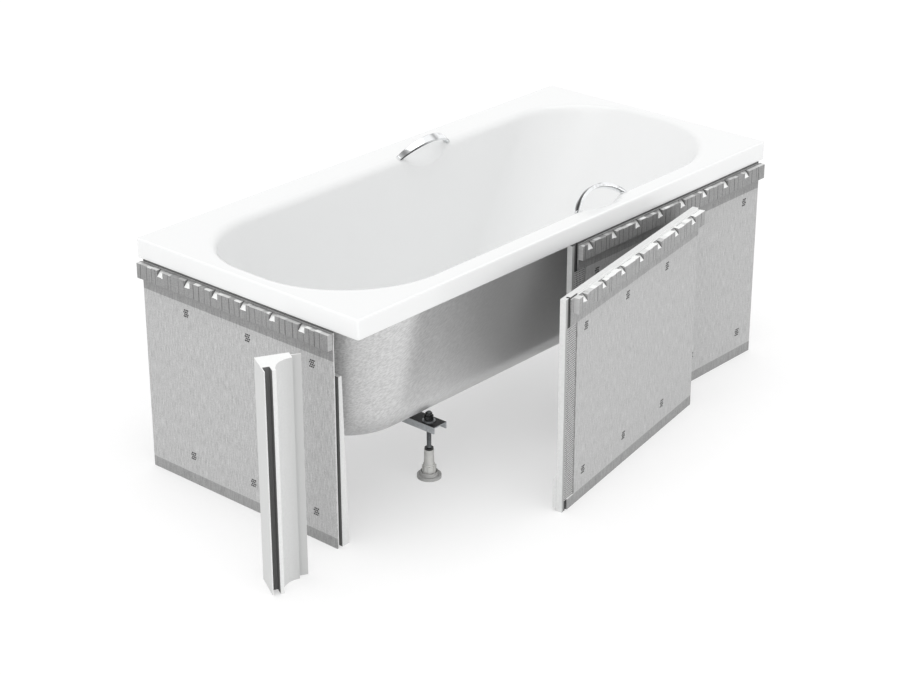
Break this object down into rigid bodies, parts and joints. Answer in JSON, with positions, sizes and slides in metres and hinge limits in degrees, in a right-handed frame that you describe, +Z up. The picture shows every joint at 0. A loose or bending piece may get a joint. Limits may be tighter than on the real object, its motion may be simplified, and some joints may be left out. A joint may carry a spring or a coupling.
{
  "type": "skirted bathtub",
  "caption": "Enamelled steel bathtub with chrome grips on screw legs, with a part-fitted skirt of foam tile panels and a corner post.",
  "frame": {"origin": "on the floor under the middle of the tub's rim", "axes": "+X along the tub to the head end, +Y to the wall, +Z up; the skirted front faces -Y and the skirted foot end faces -X"},
  "size_m": [1.8532, 0.9693, 0.6588],
  "materials": {
    "enamel": "white gloss enamel inside, grey ground coat outside",
    "chrome": "polished",
    "zinc": "zinc coated",
    "black_plastic": "moulded",
    "grey_plastic": "moulded",
    "waste_plastic": "moulded",
    "rubber": "moulded",
    "foam": "cut hard foam",
    "face_coat": "cement coat over woven glass fibre",
    "band_coat": "darker cement coat",
    "strip_foam": "scored grey foam with broken white edges",
    "mesh": "open woven glass fibre"
  },
  "bodies": {
    "tub": {"tub_shell": "enamel", "grip_front": "chrome", "grip_back": "chrome", "grip_gaskets": "rubber", "grip_nuts": "zinc", "rail_foot_end": "zinc", "rail_head_end": "zinc", "rail_saddles": "grey_plastic", "rail_screws": "zinc", "rod_nuts": "zinc", "rod_washers": "zinc", "rod_caps": "black_plastic", "rod_top_nuts": "zinc", "drain_flange": "chrome", "drain_gasket": "rubber", "drain_body": "waste_plastic", "trap_body": "waste_plastic", "overflow_ring": "chrome", "overflow_gasket": "rubber", "overflow_body": "waste_plastic", "overflow_pipe": "waste_plastic", "plug_cable": "rubber", "earth_tab": "zinc", "leg_rod_1": "zinc", "leg_rod_2": "zinc", "leg_rod_3": "zinc", "leg_rod_4": "zinc"},
    "foot_1": {"foot_base_1": "grey_plastic", "foot_sleeve_1": "grey_plastic", "foot_collar_1": "black_plastic"},
    "foot_2": {"foot_base_2": "grey_plastic", "foot_sleeve_2": "grey_plastic", "foot_collar_2": "black_plastic"},
    "foot_3": {"foot_base_3": "grey_plastic", "foot_sleeve_3": "grey_plastic", "foot_collar_3": "black_plastic"},
    "foot_4": {"foot_base_4": "grey_plastic", "foot_sleeve_4": "grey_plastic", "foot_collar_4": "black_plastic"},
    "overflow_knob": {"overflow_knob": "chrome"},
    "drain_plug": {"drain_plug": "chrome"},
    "end_panel": {"end_panel_core": "foam", "end_panel_face": "face_coat", "end_panel_bands": "band_coat", "end_panel_strip": "strip_foam", "end_panel_rib": "foam"},
    "right_panel": {"right_panel_core": "foam", "right_panel_face": "face_coat", "right_panel_bands": "band_coat", "right_panel_mesh": "mesh", "right_panel_strip": "strip_foam", "right_panel_shims": "foam"},
    "left_panel": {"left_panel_core": "foam", "left_panel_face": "face_coat", "left_panel_bands": "band_coat", "left_panel_mesh": "mesh", "left_panel_strip": "strip_foam", "left_panel_shims": "foam"},
    "corner_post": {"corner_post": "foam"}
  },
  "joints": [
    {"name": "foot_1_height", "type": "slide", "parent": "tub", "child": "foot_1", "axis": [0, 0, 1], "range_m": [-0.035, 0.012]},
    {"name": "foot_2_height", "type": "slide", "parent": "tub", "child": "foot_2", "axis": [0, 0, 1], "range_m": [-0.035, 0.012]},
    {"name": "foot_3_height", "type": "slide", "parent": "tub", "child": "foot_3", "axis": [0, 0, 1], "range_m": [-0.035, 0.012]},
    {"name": "foot_4_height", "type": "slide", "parent": "tub", "child": "foot_4", "axis": [0, 0, 1], "range_m": [-0.035, 0.012]},
    {"name": "knob_turn", "type": "hinge", "parent": "tub", "child": "overflow_knob", "pos_m": [-0.74354, -0.0175, 0.521], "axis": [0.9914, 0, 0.1309], "range_deg": [0, 90]},
    {"name": "plug_lift", "type": "slide", "parent": "tub", "child": "drain_plug", "axis": [0, 0, 1], "range_m": [0, 0.01]},
    {"name": "end_panel_slide", "type": "slide", "parent": "tub", "child": "end_panel", "axis": [0, 1, 0], "range_m": [0, 0.08]},
    {"name": "right_panel_slide", "type": "slide", "parent": "tub", "child": "right_panel", "axis": [1, 0, 0], "range_m": [0, 0.1]},
    {"name": "left_panel_home", "type": "hinge", "parent": "tub", "child": "left_panel", "pos_m": [0.34697, 1.9288, 0], "axis": [0, 0, -1], "range_deg": [0, 10.05]},
    {"name": "corner_post_home", "type": "hinge", "parent": "tub", "child": "corner_post", "pos_m": [-0.87449, -0.25694, 0], "axis": [0, 0, 1], "range_deg": [0, 118.5]}
  ],
  "couplings": [
    {"joint": "plug_lift", "follows": "knob_turn", "m_per_rad": 0.0063662}
  ]
}
